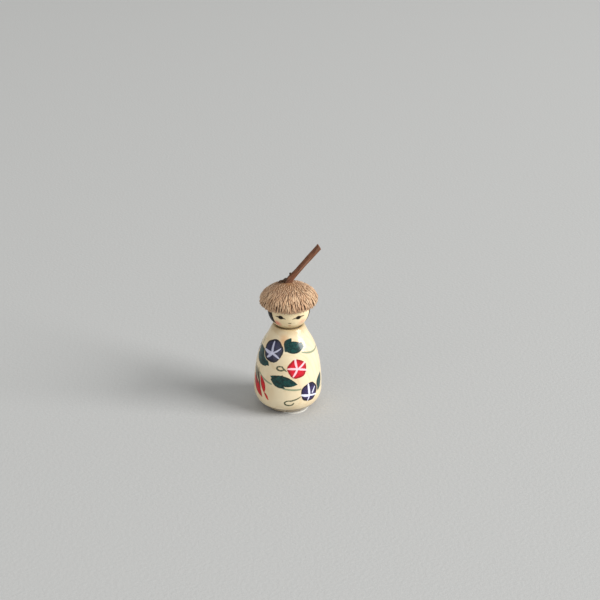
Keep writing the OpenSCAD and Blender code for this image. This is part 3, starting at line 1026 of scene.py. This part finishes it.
def stalkRoute():
    # the stalk's line and its thickness, by how far along it a place is
    half, knee, reach = stalk["across"] / 2, stalk["knee"], stalk["kneeReach"]
    lean = math.radians(stalk["lean"])
    way = Vector((math.sin(lean), stalk["back"], math.cos(lean)))
    foot = cupTop + Vector(stalk["foot"])
    bend = cupTop + Vector(stalk["bend"])
    total = (stalk["long"] * way).length
    way = way.normalized()
    low = (bend - foot).length
    first = (bend - foot).normalized()
    # square to the stalk, on the side that faces the table
    down = Vector((way.x, way.y, 0)).normalized() * way.z - Vector((0, 0, math.hypot(way.x, way.y)))
    down = down.normalized()

    def centreAt(s):
        if s < low - reach:
            return foot + first * s
        if s > low + reach:
            t = (s - low) / total
            crook = stalk["crook"] * math.sin(t * 7.0) * min(1, t * 3) * (1 - t)
            return bend + way * (s - low) + down * crook
        t = (s - low + reach) / (2 * reach)
        a = foot + first * (low - reach)
        c = bend + way * reach
        return a.lerp(bend, t).lerp(bend.lerp(c, t), t)

    def radiusAt(s):
        if s < low:
            wide = half * stalk["footWide"]
            return wide + (half + knee - wide) * (1 - (1 - s / low) ** 2)
        t = (s - low) / total
        thin = half + knee * (1 - min(1, t / 0.3)) ** 2
        return thin + stalk["tipSwell"] * max(0, (t - 0.4) / 0.6) ** 1.5
    return centreAt, radiusAt, low + total, way, down


def ridgeAt(a, s):
    # the bark's furrows: how high it stands at an angle round the stalk and a place along it
    ridge = 0.5 * math.cos(5 * a + 0.12 * s) + 0.3 * math.cos(8 * a - 0.2 * s + 1.0)
    spot = Vector((math.cos(a) * 1.6, math.sin(a) * 1.6, s * 0.35 + stalk["seed"]))
    return ridge + 0.9 * noise.noise(spot)


def makeBranch(bark):
    centreAt, radiusAt, full, way, down = stalkRoute()
    slope = math.tan(math.radians(stalk["slant"]))
    sides, steps = stalk["sides"], stalk["steps"]
    bm = bmesh.new()
    alongLayer, ridgeLayer, cutLayer = [
        bm.verts.layers.float.new(name) for name in ("stalkAlong", "stalkRidge", "stalkCut")]
    rings = []
    for k in range(steps + 1):
        s = full * k / steps
        ahead = (centreAt(min(full, s + 0.05)) - centreAt(max(0, s - 0.05))).normalized()
        centre = centreAt(s)
        upward = ahead.cross(down).normalized()
        side = upward.cross(ahead).normalized()
        # the last rings shear to the slanting cut, and the furrows fade there
        near = max(0.0, 1 - (full - s) / stalk["cutLong"])
        fade = 1.0 if s < full - 0.4 else 0.5
        ring = []
        for i in range(sides):
            a = 2 * math.pi * i / sides
            ridge = ridgeAt(a, s)
            r = radiusAt(s) + stalk["ridges"] * (ridge - 0.9) * fade
            p = centre + side * (r * math.cos(a)) + upward * (r * math.sin(a))
            p -= way * near * (slope * r * math.cos(a) + stalk["cutBack"])
            vert = bm.verts.new(p * mm)
            vert[alongLayer] = s
            vert[ridgeLayer] = ridge
            ring.append(vert)
        rings.append(ring)
    # the cut face, sunk a little at the pith
    top = rings[-1]
    middle = sum((v.co for v in top), Vector()) / sides
    for share, out, mark in cutRings:
        ring = [bm.verts.new(middle.lerp(v.co, share) + way * out * mm) for v in top]
        for vert in ring:
            vert[alongLayer] = full
            vert[cutLayer] = mark
        rings.append(ring)
    for a, b in zip(rings, rings[1:]):
        for i in range(sides):
            j = (i + 1) % sides
            bm.faces.new((a[i], a[j], b[j], b[i]))
    for ring, along, mark in ((rings[0], 0.0, 0.0), (rings[-1], full, 1.0)):
        centre = bm.verts.new(sum((v.co for v in ring), Vector()) / sides)
        centre[alongLayer] = along
        centre[cutLayer] = mark
        for i in range(sides):
            bm.faces.new((ring[i], ring[(i + 1) % sides], centre))
    bmesh.ops.recalc_face_normals(bm, faces=bm.faces)
    return makeObject("stalkBranch", bm, bark)


def makeScars(scarWood):
    bm = bmesh.new()
    for n, (at, size) in enumerate(scarBlobs):
        made = bmesh.ops.create_icosphere(bm, subdivisions=3, radius=1.0)
        for v in made["verts"]:
            lump = 1 + 0.35 * noise.noise(v.co * 1.8 + Vector((n * 5, 0, 0)))
            v.co = Vector((v.co.x * size[0], v.co.y * size[1], v.co.z * size[2])) * lump
            v.co = (v.co + Vector(at) + cupTop) * mm
    bmesh.ops.recalc_face_normals(bm, faces=bm.faces)
    return makeObject("stalkScars", bm, scarWood)


barkSkin = makeBark()
scarSkin = makeScarWood()
joinHat([makeBranch(barkSkin), makeScars(scarSkin)], "stalk")
print("stalk made")


def makeGlue():
    material, tree, shader = newMaterial("driedGlue")
    haze = speckle(objectPlace(tree), 900.0, 3.0, 0.5)
    base = haze.mix(colour(206, 188, 140), colour(228, 216, 178))
    dressShader(tree, shader, base, haze.remap(0.3, 0.7, 0.2, 0.4), haze, 0.4, 0.1)
    return material


def makePaper():
    material, tree, shader = newMaterial("paperDisc")
    spot = objectMm(tree)
    pulp = speckle(spot, 2.2, 5.0, 0.65)
    stain = speckle(spot, 0.35, 2.0, 0.5)
    base = pulp.remap(0.35, 0.65).mix(colour(204, 201, 192), colour(218, 215, 207))
    base = stain.remap(0.5, 0.8, 0.0, 0.3).mix(base, colour(186, 172, 146))
    dressShader(tree, shader, base, pulp.remap(0.3, 0.7, 0.75, 0.9), pulp, 0.4, 0.04)
    return material


dressNode("glue_pad", makeGlue())
dressNode("base_disc", makePaper())
print("glue and paper dressed")


# floor, light and camera: sizes and distances in metres, the camera's in mm
floorLook = {"size": 24.0, "tone": colour(186, 186, 184), "fleck": colour(170, 170, 170), "roughness": 0.8}
lights = {
    "windowLight": {"watts": 114.0, "size": 1.6, "from": (0.88, -0.26, 0.5), "away": 3.0},
    "fillLight": {"watts": 16.0, "size": 2.4, "from": (-0.65, -0.9, 0.25), "away": 3.0}}
aimHeight = 0.03
sky = {"tint": (0.96, 0.97, 0.97, 1.0), "strength": 0.52}
lens = {"mm": 85.0, "away": 442.0, "height": 25.0, "aim": (3.46, 0.0, 36.53), "roll": 1.0}


def makeFloor():
    material, tree, shader = newMaterial("paleFloor")
    pebble = speckle(objectMm(tree), 0.9, 2.0, 0.5)
    tone = pebble.remap(0.3, 0.7, 0.0, 0.1).mix(floorLook["tone"], floorLook["fleck"])
    dressShader(tree, shader, tone, floorLook["roughness"], pebble, 0.5, 0.15)
    bm = bmesh.new()
    bmesh.ops.create_grid(bm, x_segments=8, y_segments=8, size=floorLook["size"] / 2)
    makeObject("floor", bm, material)


def makeLight(name, light):
    lamp = bpy.data.lights.new(name, "AREA")
    lamp.shape = "SQUARE"
    lamp.size = light["size"]
    lamp.energy = light["watts"]
    source = Vector(light["from"])
    made = linkObject(name, lamp)
    made.location = source.normalized() * light["away"] + Vector((0, 0, aimHeight))
    made.rotation_euler = (-source).to_track_quat("-Z", "Y").to_euler()


def makeSky():
    world = bpy.data.worlds.new("room")
    world.use_nodes = True
    background = world.node_tree.nodes["Background"]
    background.inputs[0].default_value = sky["tint"]
    background.inputs[1].default_value = sky["strength"]
    bpy.context.scene.world = world


def makeCamera():
    up = math.radians(lens["height"])
    back = Vector((0, -math.cos(up), math.sin(up)))
    camera = linkObject("camera", bpy.data.cameras.new("camera"))
    camera.data.lens = lens["mm"]
    camera.data.sensor_width = 36.0
    camera.data.clip_start = 0.01
    camera.data.clip_end = 20.0
    camera.location = (Vector(lens["aim"]) + back * lens["away"]) * mm
    look = (-back).to_track_quat("-Z", "Y").to_matrix().to_4x4()
    camera.rotation_euler = (look @ Matrix.Rotation(math.radians(lens["roll"]), 4, "Z")).to_euler()
    bpy.context.scene.camera = camera


makeFloor()
for name, light in lights.items():
    makeLight(name, light)
makeSky()
bpy.context.scene.view_settings.view_transform = "Standard"
bpy.context.scene.view_settings.look = "None"
makeCamera()
print("studio ready")

bpy.context.view_layer.update()
